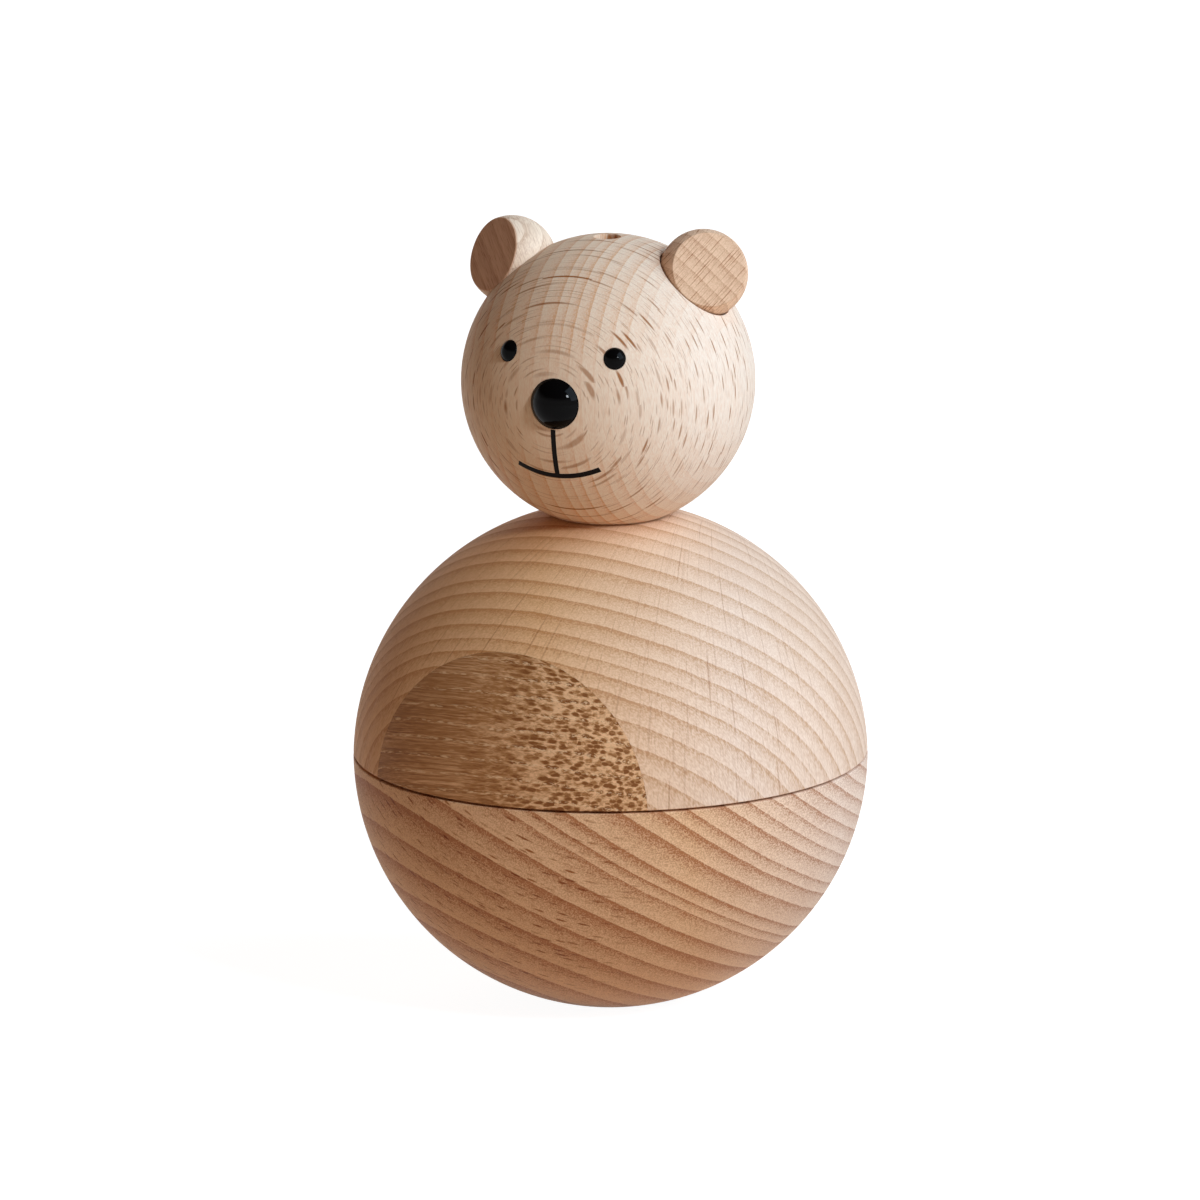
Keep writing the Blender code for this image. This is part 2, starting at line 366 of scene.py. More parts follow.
def lower_half_profile():
    """From the middle of the foot up the outside, in along the seam face and down the dowel's socket."""
    foot_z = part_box("lower_body")[0].z + FOOT_EASE
    foot_r = math.sqrt((BODY_RADIUS - FOOT_EASE) ** 2 - (LOWER_BALL_Z - foot_z) ** 2)
    foot_latitude = math.atan2(foot_z - LOWER_BALL_Z, foot_r)
    edge, edge_latitude = eased_seam_edge(LOWER_BALL_Z, LOWER_FACE_Z, -1)
    foot = arc((foot_r, foot_z), FOOT_EASE, -math.pi / 2, foot_latitude, EASE_ROWS)
    outside = arc((0, LOWER_BALL_Z), BODY_RADIUS, foot_latitude, edge_latitude, BODY_ROWS)
    rounding = arc(edge, SEAM_EASE, edge_latitude, math.pi / 2, EASE_ROWS)
    socket_floor = DOWEL_FOOT_Z - GLUE_LINE
    socket = [(DOWEL_RADIUS + GLUE_LINE, z) for z in (LOWER_FACE_Z, socket_floor)]
    return [(0, foot_z - FOOT_EASE)] + foot[:-1] + outside + rounding[1:] + socket + [(0, socket_floor)]


def upper_half_profile(inner_radius):
    """Along the seam face, up the outside and in over the neck flat."""
    edge, edge_latitude = eased_seam_edge(UPPER_BALL_Z, UPPER_FACE_Z, +1)
    neck_latitude = math.acos(NECK_RADIUS / BODY_RADIUS)
    rounding = arc(edge, SEAM_EASE, -math.pi / 2, edge_latitude, EASE_ROWS)
    outside = arc((0, UPPER_BALL_Z), BODY_RADIUS, edge_latitude, neck_latitude, BODY_ROWS)
    return [(inner_radius, UPPER_FACE_Z)] + rounding[:-1] + outside + [(inner_radius, BODY_TOP_Z)]


def head_profile():
    """Along the neck flat, up the outside and over the hole's eased mouth. Closing it makes the bore."""
    mouth_latitude = math.acos((BORE_RADIUS + HOLE_EASE) / HEAD_RADIUS)
    neck_latitude = -math.acos(NECK_RADIUS / HEAD_RADIUS)
    outside = arc((0, HEAD_Z), HEAD_RADIUS, neck_latitude, mouth_latitude, HEAD_ROWS)
    lip_centre = (BORE_RADIUS + HOLE_EASE, outside[-1][1] - HOLE_EASE)
    lip = arc(lip_centre, HOLE_EASE, math.pi / 2, math.pi, EASE_ROWS)
    return [(BORE_RADIUS, outside[0][1])] + outside + lip[1:]


def cylinder_profile(radius, low, high):
    return [(0, low), (radius, low), (radius, high), (0, high)]


def ball_profile(radius):
    return arc((0, 0), radius, -math.pi / 2, math.pi / 2, SMALL_STEPS // 2)


def ear_profile():
    """A ball with its top cut flat and the edge of the flat eased."""
    flat = EAR_RADIUS - EAR_FACE_CUT
    edge_z = flat - EAR_EASE
    edge_r = math.sqrt((EAR_RADIUS - EAR_EASE) ** 2 - edge_z**2)
    edge_latitude = math.atan2(edge_z, edge_r)
    ball = arc((0, 0), EAR_RADIUS, -math.pi / 2, edge_latitude, SMALL_STEPS // 2)
    rounding = arc((edge_r, edge_z), EAR_EASE, edge_latitude, math.pi / 2, EASE_ROWS)
    return ball + rounding[1:] + [(0, flat)]


def pin_profile(radius, dome, shank):
    """A peg with a domed end and an eased rim. Heights count from where the dome starts."""
    dome_radius = (radius**2 + dome**2) / (2 * dome)
    dome_z = dome - dome_radius
    edge_r = radius - PIN_EASE
    edge_z = dome_z + math.sqrt((dome_radius - PIN_EASE) ** 2 - edge_r**2)
    edge_latitude = math.atan2(edge_z - dome_z, edge_r)
    rounding = arc((edge_r, edge_z), PIN_EASE, 0, edge_latitude, EASE_ROWS)
    crown = arc((0, dome_z), dome_radius, edge_latitude, math.pi / 2, SMALL_STEPS // 3)
    return [(0, -shank), (radius, -shank)] + rounding[:-1] + crown


def dowel_profile():
    """A rod with both ends rounded."""
    edge_r = DOWEL_RADIUS - DOWEL_EASE
    foot = arc((edge_r, DOWEL_FOOT_Z + DOWEL_EASE), DOWEL_EASE, -math.pi / 2, 0, EASE_ROWS)
    top = arc((edge_r, DOWEL_TOP_Z - DOWEL_EASE), DOWEL_EASE, 0, math.pi / 2, EASE_ROWS)
    return [(0, DOWEL_FOOT_Z)] + foot + top + [(0, DOWEL_TOP_Z)]


# Pieces

def dress(piece, body, node, material):
    """The piece rides on its body with its finish, and takes a node's place if one is named."""
    piece.data.materials.clear()
    piece.data.materials.append(material)
    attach(piece, body)
    if node:
        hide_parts(node)


def make_lower_half():
    piece = turned("lower_half", lower_half_profile(), BODY_STEPS)
    smooth(piece, LOWER_CENTRE, BODY_RADIUS)
    dress(piece, "base", "lower_body", lower_beech())


def make_dowel():
    piece = smooth(turned("dowel_rod", dowel_profile(), SMALL_STEPS))
    dress(piece, "base", "centre_dowel", dowel_beech())


def make_upper_half():
    """The pale half with its pocket, and the oak half-round trimmed by the same ball."""
    ahead = direction_at(INLAY_TURN_DEG, 0)
    front = BODY_RADIUS + CUTTER_REACH
    pocket_shape = cylinder_profile(INLAY_RADIUS + GLUE_LINE, INLAY_FLOOR - GLUE_LINE, front)
    pocket = turned("pocket_tool", pocket_shape, BODY_STEPS, UPPER_CENTRE, ahead)
    half = carve(turned("upper_half", upper_half_profile(BORE_RADIUS), BODY_STEPS), [pocket])
    smooth(half, UPPER_CENTRE, BODY_RADIUS)
    dress(half, "upper_body", "upper_body", upper_beech())

    plug = cylinder_profile(INLAY_RADIUS, INLAY_FLOOR, front)
    whole_half = turned("half_tool", upper_half_profile(0), BODY_STEPS)
    inlay = carve(turned("oak_inlay", plug, BODY_STEPS, UPPER_CENTRE, ahead), [whole_half], "INTERSECT")
    smooth(inlay, UPPER_CENTRE, BODY_RADIUS)
    dress(inlay, "upper_body", "belly_inlay", oak())


def make_ear(name, side, wood):
    """One ear on the head, and the tool for its pocket. side is +1 for the bear's left."""
    place = HEAD_CENTRE + direction_at(side * 90, EAR_ELEVATION_DEG) * (HEAD_RADIUS + EAR_STANDOFF)
    face = direction_at(side * EAR_FACE_SPLAY_DEG, EAR_FACE_TILT_DEG)
    ear = turned(name + "_ball", ear_profile(), SMALL_STEPS, place, face)
    smooth(ear, place, EAR_RADIUS)
    dress(ear, "head", name, wood(place, face))
    return turned(name + "_tool", ball_profile(EAR_RADIUS + EAR_POCKET_GAP), SMALL_STEPS, place, face)


def make_pin(name, node, radius, dome, shank, direction):
    """One black pin on the head, and the tool for its hole."""
    place = HEAD_CENTRE + direction * math.sqrt(HEAD_RADIUS**2 - radius**2)
    pin = smooth(turned(name, pin_profile(radius, dome, shank), SMALL_STEPS, place, direction))
    dress(pin, "head", node, black_lacquer(name))
    hole = cylinder_profile(radius + PIN_GAP, -shank - PIN_GAP, CUTTER_REACH)
    return turned(name + "_tool", hole, SMALL_STEPS, place, direction)


def make_head():
    """The ears, eyes and nose, and the head with their pockets and holes."""
    tools = []
    for side, name, wood in ((+1, "left", left_ear_beech), (-1, "right", right_ear_beech)):
        tools.append(make_ear(name + "_ear", side, wood))
        look = direction_at(side * EYE_AZIMUTH_DEG, EYE_ELEVATION_DEG)
        tools.append(make_pin(name + "_eye_pin", name + "_eye", EYE_RADIUS, EYE_DOME, EYE_SHANK, look))
    ahead = direction_at(0, NOSE_ELEVATION_DEG)
    tools.append(make_pin("nose_pin", "nose", NOSE_RADIUS, NOSE_DOME, NOSE_SHANK, ahead))
    head = carve(turned("head_ball", head_profile(), HEAD_STEPS), tools)
    smooth(head, HEAD_CENTRE, HEAD_RADIUS)
    dress(head, "head", "head", head_beech())


def on_head(x, z, height):
    """The point of the face at x and z from the head's centre, a height above the wood."""
    way = Vector((x, -math.sqrt(HEAD_RADIUS**2 - x**2 - z**2), z)).normalized()
    return HEAD_CENTRE + way * (HEAD_RADIUS + height)


def painted_line(name, path):
    """A thin closed strip on the face along a path of (x, z) points."""
    form = bmesh.new()
    right_side = [(+1, -LINE_SUNK), (+1, LINE_PROUD / 2), (+LINE_FLAT, LINE_PROUD)]
    outline = right_side + [(-across, height) for across, height in reversed(right_side)]
    sections = []
    for index, (x, z) in enumerate(path):
        before = path[max(index - 1, 0)]
        after = path[min(index + 1, len(path) - 1)]
        along = Vector((after[0] - before[0], after[1] - before[1])).normalized()
        side = Vector((-along.y, along.x)) * LINE_WIDTH / 2
        points = [on_head(x + side.x * across, z + side.y * across, height) for across, height in outline]
        sections.append([form.verts.new(point) for point in points])
    for first, second in zip(sections, sections[1:]):
        for corner in range(len(outline)):
            turn = (corner + 1) % len(outline)
            form.faces.new((first[corner], first[turn], second[turn], second[corner]))
    form.faces.new(sections[0])
    form.faces.new(reversed(sections[-1]))
    return mesh_object(name, form)


def make_mouth():
    """The smile and the upright line above it, joined into one painted marking."""
    top_x, top_z = PHILTRUM_TOP
    smile = []
    upright = []
    for step in range(LINE_STEPS + 1):
        share = step / LINE_STEPS
        x = MOUTH_HALF_WIDTH * (2 * share - 1)
        z = MOUTH_LOWEST_Z + MOUTH_BEND - math.sqrt(MOUTH_BEND**2 - x**2)
        smile.append((MOUTH_MIDDLE_X + x, z))
        upright_x = top_x + (PHILTRUM_FOOT_X - top_x) * share
        upright.append((upright_x, top_z + (MOUTH_LOWEST_Z - top_z) * share))
    mouth = carve(painted_line("mouth_line", smile), [painted_line("upright_tool", upright)], "UNION")
    dress(smooth(mouth), "head", None, line_paint())


# Material nodes

class Nodes:
    """Shader nodes of one material. Each method adds nodes and returns their result socket."""

    def __init__(self, name):
        self.material = bpy.data.materials.new(name)
        self.material.use_nodes = True
        self.tree = self.material.node_tree
        self.shader = self.tree.nodes["Principled BSDF"]

    def put(self, socket, value):
        """Links a socket, or sets a plain value."""
        if isinstance(value, bpy.types.NodeSocket):
            self.tree.links.new(value, socket)
        else:
            socket.default_value = value

    def math(self, operation, *values, clamp=False):
        node = self.tree.nodes.new("ShaderNodeMath")
        node.operation = operation
        node.use_clamp = clamp
        for socket, value in zip(node.inputs, values):
            self.put(socket, value)
        return node.outputs[0]

    def product(self, *values):
        """All the values multiplied together."""
        total = values[0]
        for value in values[1:]:
            total = self.math("MULTIPLY", total, value)
        return total

    def scaled(self, value, factor, start):
        """The value times a factor, added to a start."""
        return self.math("MULTIPLY_ADD", value, factor, start)

    def vector_math(self, operation, *values):
        """A node of vector arithmetic, which has two result sockets."""
        node = self.tree.nodes.new("ShaderNodeVectorMath")
        node.operation = operation
        for socket, value in zip(node.inputs, values):
            self.put(socket, value)
        return node

    def along(self, direction, centre=Vector()):
        """Distance of the shaded point from a centre along a direction of the rest frame, in millimetres."""
        place = self.tree.nodes.new("ShaderNodeTexCoord")
        distance = self.vector_math("DOT_PRODUCT", place.outputs["Object"], direction * MM_IN_METRE)
        return self.math("SUBTRACT", distance.outputs["Value"], direction.dot(centre) * MM_IN_METRE)

    def vector(self, coordinates, sizes):
        """Coordinates divided by the sizes of the detail along each."""
        node = self.tree.nodes.new("ShaderNodeCombineXYZ")
        for socket, coordinate, size in zip(node.inputs, coordinates, sizes):
            self.put(socket, self.math("DIVIDE", coordinate, size))
        return node.outputs[0]

    def noise(self, coordinates, sizes, detail=2.0, roughness=0.5):
        """Soft noise from -0.5 to 0.5, with patches of the given sizes."""
        node = self.tree.nodes.new("ShaderNodeTexNoise")
        self.put(node.inputs["Vector"], self.vector(coordinates, sizes))
        node.inputs["Scale"].default_value = 1.0
        node.inputs["Detail"].default_value = detail
        node.inputs["Roughness"].default_value = roughness
        return self.math("SUBTRACT", node.outputs["Fac"], 0.5)

    def even_noise(self, size, detail=2.0):
        """Soft noise of the same size in all directions."""
        place = [self.along(Vector(axis)) for axis in ((1, 0, 0), (0, 1, 0), (0, 0, 1))]
        return self.noise(place, (size, size, size), detail)

    def chance(self, value):
        """A random number from 0 to 1 for each whole number."""
        node = self.tree.nodes.new("ShaderNodeTexWhiteNoise")
        node.noise_dimensions = "1D"
        self.put(node.inputs["W"], value)
        return node.outputs["Value"]

    def years(self, place, edges):
        """Counts the years at a place: a whole number at each ring edge, and evenly on beyond the ends."""
        last = len(edges) - 1
        width = edges[-1] - edges[0]
        node = self.tree.nodes.new("ShaderNodeFloatCurve")
        node.mapping.extend = "EXTRAPOLATED"
        points = node.mapping.curves[0].points
        while len(points) < len(edges):
            points.new(0.5, 0.5)
        for index, edge in enumerate(edges):
            points[index].location = ((edge - edges[0]) / width, index / last)
            points[index].handle_type = "VECTOR"
        node.mapping.update()
        span = self.math("DIVIDE", self.math("SUBTRACT", place, edges[0]), width)
        self.put(node.inputs["Value"], span)
        return self.math("MULTIPLY", node.outputs[0], last)

    def slide(self, value, start, end, first, last):
        """Goes from the first level to the last between two places, and stays level outside them."""
        node = self.tree.nodes.new("ShaderNodeMapRange")
        for socket, amount in zip(node.inputs, (value, start, end, first, last)):
            self.put(socket, amount)
        return node.outputs[0]

    def colours(self, value, *stops):
        """A run of colours through (position, colour) stops."""
        node = self.tree.nodes.new("ShaderNodeValToRGB")
        self.put(node.inputs["Fac"], value)
        elements = node.color_ramp.elements
        while len(elements) < len(stops):
            elements.new(0.5)
        for element, (position, colour) in zip(elements, stops):
            element.position = position
            element.color = (*colour, 1)
        return node.outputs["Color"]

    def ramp(self, value, *stops):
        """A run of levels through (position, level) stops."""
        return self.colours(value, *[(position, (level, level, level)) for position, level in stops])

    def mix(self, share, first, second, blend="MIX"):
        """Two colours mixed by a share of the second."""
        node = self.tree.nodes.new("ShaderNodeMix")
        node.data_type = "RGBA"
        node.blend_type = blend
        self.put(node.inputs[0], share)
        for socket, value in zip((node.inputs[6], node.inputs[7]), (first, second)):
            self.put(socket, (*value, 1) if isinstance(value, tuple) else value)
        return node.outputs[2]

    def specks(self, coordinates, cells, half_sizes):
        """Separate flecks of unlike strength, one to a cell, as ellipsoids of given half sizes."""
        place = self.vector(coordinates, cells)
        cell = self.tree.nodes.new("ShaderNodeTexVoronoi")
        self.put(cell.inputs["Vector"], place)
        cell.inputs["Scale"].default_value = 1.0
        gap = self.vector_math("SUBTRACT", place, cell.outputs["Position"])
        shape = Vector(width / half for width, half in zip(cells, half_sizes))
        stretched = self.vector_math("MULTIPLY", gap.outputs[0], shape)
        reach = self.vector_math("LENGTH", stretched.outputs[0])
        fleck = self.ramp(reach.outputs["Value"], (FLECK_CORE, 1.0), (1.0, 0.0))
        chance = self.tree.nodes.new("ShaderNodeSeparateColor")
        self.put(chance.inputs[0], cell.outputs["Color"])
        strength = self.scaled(chance.outputs[0], 1 - FAINTEST_FLECK, FAINTEST_FLECK)
        return self.product(fleck, strength)

    def finish(self, colour, roughness, gloss, height, relief):
        """Puts colour, roughness, gloss and a relief of the given depth on the shader."""
        self.put(self.shader.inputs["Base Color"], colour)
        self.shader.inputs["Specular IOR Level"].default_value = gloss
        self.put(self.shader.inputs["Roughness"], roughness)
        bump = self.tree.nodes.new("ShaderNodeBump")
        bump.inputs["Strength"].default_value = 1.0
        bump.inputs["Distance"].default_value = relief
        self.put(bump.inputs["Height"], height)
        self.put(self.shader.inputs["Normal"], bump.outputs[0])
        return self.material


# Woods

def wood_axes(radial, fibre):
    """Unit directions across the rings, around them and along the fibres."""
    radial = Vector(radial).normalized()
    fibre = Vector(fibre)
    fibre = (fibre - radial * fibre.dot(radial)).normalized()
    return radial, fibre.cross(radial), fibre


def ring_place(n, wood, place, bow, curl, wobble):
    """Distance across the rings, bent by the square of the bow's distance, with a sway and a ripple."""
    place = n.scaled(n.product(bow, bow), curl, place)
    place = n.scaled(n.noise(wood, RING_SWAY), 2 * wobble, place)
    return n.scaled(n.noise(wood, RING_RIPPLE, detail=1.0), 2 * RIPPLE_SHARE * wobble, place)


def late_wood(n, years, lengthwise, side_grain):
    """Darkness of the years from 0 to 1: each darkens slowly and ends sharply, and some stay paler."""
    late = n.ramp(n.math("FRACT", years), *YEAR_DARKENING)
    year_tone = n.scaled(n.chance(n.math("FLOOR", years)), 1 - PALEST_YEAR, PALEST_YEAR)
    shown = n.slide(n.math("ABSOLUTE", lengthwise), *END_GRAIN, side_grain, 1.0)
    return n.product(late, year_tone, shown)


def ray_flecks(n, wood, rays):
    """The strongest of several kinds of rays at each point."""
    flecks = 0.0
    for shape, strength, *span in rays:
        if span:
            strength = n.slide(wood[0], *span, 0.0, strength)
        flecks = n.math("MAXIMUM", flecks, n.product(n.specks(wood, *shape), strength))
    return flecks


def beech(name, centre, radial, fibre, rings, pale, dark, ring_way=None, curl=(UP, 0.0), wobble=0.3,
          side_grain=1.0, fan=0.0, reach=None, painted_shade=None, front=None, figure=0.8, speckle=0.35,
          pore=(0.21, 1.2), rays=((DASHES, 1.0), (FINE_RAYS, 0.45))):
    """Solid beech: years that darken slowly and end sharply, thin rays, pores and soft clouds.

    ring_way is the direction across the rings, if it isn't the radial one of the rays. curl bends the
    rings along a direction, per millimetre, and wobble is how far they sway. side_grain is the share of the
    rings that shows round the middle, where the surface lies along the fibres. fan spreads the rays
    from the pith, per millimetre. reach is where, across the rings, the rings begin to fade and where they
    are faint; on the head they fade toward its side lit by the window, which is painted light. painted_shade
    is where a painted warm shade begins and where it is full, going away from the window, and its tint; the
    rings are also fainter toward the lit side, painted light too. front is the direction of a flat front and
    its tint, which on the right ear is painted shade. figure and speckle are the strengths of the rings and
    pores, and pore is the width and length of a pore. Each of the rays has a shape, a strength and, if it
    isn't even, the two places across the rings between which it rises from none.
    """
    n = Nodes(name)
    wood = [n.along(axis, centre) for axis in wood_axes(radial, fibre)]
    across, around, lengthwise = wood
    place = n.along(Vector(ring_way).normalized(), centre) if ring_way else across
    bow = n.along(Vector(curl[0]).normalized(), centre)
    place = ring_place(n, wood, place, bow, curl[1], wobble)
    wood[1] = n.product(around, n.math("EXPONENT", n.product(across, fan)))

    late = late_wood(n, n.years(place, rings), lengthwise, side_grain)
    # painted warm shade: the wood turns darker and more orange away from the window, and its rings fainter
    # toward the lit side
    if painted_shade:
        start, end, shade_tint = painted_shade
        shade_share = n.slide(n.along(LIT_SIDE_WAY, centre), start, end, 0.0, 1.0)
        late = n.product(late, n.slide(shade_share, 0.0, 1.0, LIT_SIDE_RINGS, 1.0))
    if reach:
        late = n.product(late, n.slide(across, *reach, 1.0, FADED_RINGS))

    pores = n.math("ADD", n.noise(wood, (pore[0], *pore), detail=1.0), 0.5)
    pores = n.math("SUBTRACT", n.ramp(pores, *PORE_EDGE), 0.5)
    dots = n.product(pores, n.scaled(late, LATE_PORES, EARLY_PORES))
    tone = n.scaled(late, figure, BASE_TONE)
    tone = n.scaled(n.noise(wood, CLOUDS), CLOUD_TONE, tone)
    tone = n.scaled(n.noise(wood, STREAKS), STREAK_TONE, tone)
    tone = n.math("MULTIPLY_ADD", dots, speckle, tone, clamp=True)

    colour = n.colours(tone, (0.0, pale), (1.0, dark))
    # the painted warm shade's tint
    if painted_shade:
        colour = n.mix(shade_share, colour, shade_tint, "MULTIPLY")
    if front:
        face, front_tint = front
        on_front = n.slide(n.along(face, centre), *EAR_FRONT, 0.0, 1.0)
        colour = n.mix(on_front, colour, front_tint, "MULTIPLY")
    flecks = ray_flecks(n, wood, rays)
    colour = n.mix(flecks, colour, RAY_TINT, "MULTIPLY")

    plain, rougher = BEECH_ROUGHNESS
    height = n.math("SUBTRACT", n.product(pores, -1.0), flecks)
    return n.finish(colour, n.scaled(pores, rougher, plain), WOOD_GLOSS, height, BEECH_RELIEF)


def lower_beech():
    """Strong slanting years, with short dashes at the front and round pores."""
    return beech(
        "lower_beech",
        LOWER_CENTRE,
        radial=(-0.229, -0.908, -0.348),
        fibre=(0.904, -0.064, -0.429),
        rings=LOWER_RINGS,
        pale=(0.88, 0.70, 0.57),
        dark=(0.435, 0.208, 0.119),
        ring_way=(0.448, 0.403, 0.798),
        curl=(UP, -0.0079),
        # painted warm shade: darker and more orange away from the window
        painted_shade=(40.0, 14.0, (1.0, 0.82, 0.59)),
        figure=1.1,
        speckle=0.8,
        pore=(0.25, 0.27),
        rays=((SHORT_DASHES, 1.0, 30.0, 40.0), (FINE_RAYS, 0.15)),
    )


def upper_beech():
    """Nearly level years with long thin rays."""
    return beech(
        "upper_beech",
        UPPER_CENTRE,
        radial=(-0.086, 0.943, 0.321),
        fibre=(0.231, -0.294, 0.924),
        rings=UPPER_RINGS,
        pale=(0.87, 0.675, 0.54),
        dark=(0.58, 0.345, 0.205),
        curl=((-0.960, -0.222, 0.170), -0.00704),
        fan=0.024,
        # painted warm shade: darker and more orange away from the window
        painted_shade=(22.0, -12.0, (1.0, 0.79, 0.52)),
        figure=1.05,
        speckle=0.6,
        rays=((LONG_RAYS, 0.45), (FINE_RAYS, 0.3)),
    )


def head_beech():
    """Upright fibres, with years that are strongest over the top and under the chin."""
    return beech(
        "head_beech",
        HEAD_CENTRE,
        radial=(0.998, -0.04, 0.044),
        fibre=UP,
        rings=HEAD_RINGS,
        pale=(0.89, 0.755, 0.635),
        dark=(0.75, 0.455, 0.285),
        wobble=0.25,
        side_grain=0.25,
        # painted light: the rings fade toward the head's side lit by the window, washed out as by that light
        reach=(8.0, 15.0),
        # painted warm shade: darker and more orange away from the window
        painted_shade=(16.0, -16.0, (1.0, 0.92, 0.79)),
        figure=1.0,
        speckle=0.45,
        rays=((DASHES, 1.0), (FINE_RAYS, 0.65)),
    )


def slanted_on(face, slant_deg):
    """Direction in an ear's flat front, turned from level by an angle."""
    level = UP.cross(face).normalized()
    slant = math.radians(slant_deg)
    return level * math.cos(slant) + face.cross(level) * math.sin(slant)


def left_ear_beech(place, face):
    """End grain on the flat front."""
    return beech(
        "left_ear_beech",
        place,
        radial=slanted_on(face, LEFT_EAR_SLANT_DEG),
        fibre=face,
        rings=EAR_RINGS,
        pale=(0.93, 0.65, 0.45),
        dark=(0.66, 0.39, 0.24),
        front=(face, (0.88, 0.86, 0.83)),
        figure=0.85,
        speckle=0.5,
        rays=((STROKES, 1.0), (FINE_RAYS, 0.4)),
    )


def right_ear_beech(place, face):
    """Fibres slant across the flat front."""
    fibre = slanted_on(face, RIGHT_EAR_SLANT_DEG)
    return beech(
        "right_ear_beech",
        place,
        radial=fibre.cross(face) + face,
        fibre=fibre,
        rings=EAR_RINGS,
        pale=(0.97, 0.78, 0.605),
        dark=(0.60, 0.39, 0.26),
        # the flat front's tint is painted shade: it darkens and warms the front, which faces away from the
        # window
        front=(face, (0.71, 0.53, 0.43)),
        figure=0.55,
        speckle=0.35,
        pore=(0.21, 3.0),
        rays=((FINE_RAYS, 0.7),),
    )


def dowel_beech():
    """Plain wood with upright fibres."""
    return beech(
        "dowel_beech",
        Vector(),
        radial=(1, 0, 0),
        fibre=UP,
        rings=DOWEL_RINGS,
        pale=(0.83, 0.645, 0.51),
        dark=(0.67, 0.46, 0.32),
    )


def oak_glints(n, across, wood, bent):
    """Pale filled pores, in a row at the start of each year."""
    place = n.scaled(n.noise(wood, RING_SWAY), OAK_RING_SWAY_REACH, across)
    season = n.math("FRACT", n.years(place, OAK_RINGS))
    spots = n.math("ADD", n.noise(bent, OAK_GLINTS, detail=1.0), 0.5)
    return n.product(n.ramp(season, *GLINT_ROWS), n.ramp(spots, *GLINT_EDGE))


def oak():
    """Solid oak: bundles of dark fibres in paler wood, streaks along them and mottling across them.

    The bundles run level with the belly on the bear's right and meet its surface on the left.
    """
    n = Nodes("oak")
    wood = [n.along(axis, UPPER_CENTRE) for axis in wood_axes(OAK_RADIAL, OAK_FIBRE)]
    across, around, lengthwise = wood
    beyond = n.math("MINIMUM", lengthwise, 0.0)
    around = n.scaled(n.product(beyond, beyond), OAK_BEND, around)
    sway_across = n.noise(wood, OAK_SWAY, detail=1.0)
    sway_around = n.noise(wood[::-1], OAK_SWAY[::-1], detail=1.0)
    bent = [
        n.scaled(sway_across, OAK_SWAY_REACH, across),
        n.scaled(sway_around, OAK_SWAY_REACH, around),
        lengthwise,
    ]

    bundle_tone = n.slide(lengthwise, *OAK_FIBRE_ENDS, *OAK_BUNDLE_TONES)
    bundles = n.product(n.specks(bent, *OAK_BUNDLES), bundle_tone)
    threads = n.product(n.noise(bent, OAK_THREADS, roughness=OAK_THREAD_FINENESS), OAK_THREAD_TONE)
    grain = n.noise(bent, OAK_GRAIN)
    dark = n.math("ADD", bundles, n.scaled(grain, OAK_GRAIN_TONE, threads))
    tone = n.scaled(n.noise(wood, OAK_CLOUDS), OAK_CLOUD_TONE, dark)
    ground = n.slide(lengthwise, *OAK_FIBRE_ENDS, *OAK_GROUND_TONES)
    colour = n.colours(n.math("ADD", tone, ground, clamp=True), *OAK_COLOURS)
    glints = oak_glints(n, across, wood, bent)
    colour = n.mix(n.product(glints, GLINT_SHARE), colour, GLINT_COLOUR)

    plain, rougher = OAK_ROUGHNESS
    height = n.math("SUBTRACT", glints, n.math("ADD", dark, grain))
    return n.finish(colour, n.scaled(grain, rougher, plain), WOOD_GLOSS, height, OAK_RELIEF)


# Black finishes

def black_lacquer(name):
    """Gloss black with a faint unevenness of the dipped coat."""
    n = Nodes(name + "_lacquer")
    wave = n.even_noise(LACQUER_WAVE)
    dust = n.math("ADD", n.even_noise(LACQUER_DUST, detail=1.0), 0.5)
    plain, rougher = LACQUER_ROUGHNESS
    roughness = n.scaled(wave, rougher, plain)
    return n.finish(n.colours(dust, *LACQUER_COLOURS), roughness, BLACK_GLOSS, wave, LACQUER_RELIEF)


def line_paint():
    """Black ink on wood, a little uneven."""
    n = Nodes("line_paint")
    blot = n.even_noise(INK_BLOT)
    plain, rougher = INK_ROUGHNESS
    roughness = n.scaled(blot, rougher, plain)
    colour = n.colours(n.math("ADD", blot, 0.5), *INK_COLOURS)
    return n.finish(colour, roughness, BLACK_GLOSS, blot, INK_RELIEF)


# Studio

def seen_directly(tree):
    """1 for rays that show the backdrop: camera, mirror and glass rays."""
    path = tree.nodes.new("ShaderNodeLightPath")
    total = path.outputs["Is Camera Ray"]
    for name in ("Is Glossy Ray", "Is Transmission Ray"):
        node = tree.nodes.new("ShaderNodeMath")
        node.operation = "MAXIMUM"
        tree.links.new(total, node.inputs[0])
        tree.links.new(path.outputs[name], node.inputs[1])
        total = node.outputs[0]
    return total


def show_by_ray(tree, lit, shown, output):
    """Puts one shader on the output for rays of light and another for rays that show the backdrop."""
    choice = tree.nodes.new("ShaderNodeMixShader")
    tree.links.new(seen_directly(tree), choice.inputs[0])
    tree.links.new(lit.outputs[0], choice.inputs[1])
    tree.links.new(shown.outputs[0], choice.inputs[2])
    tree.links.new(choice.outputs[0], output.inputs["Surface"])


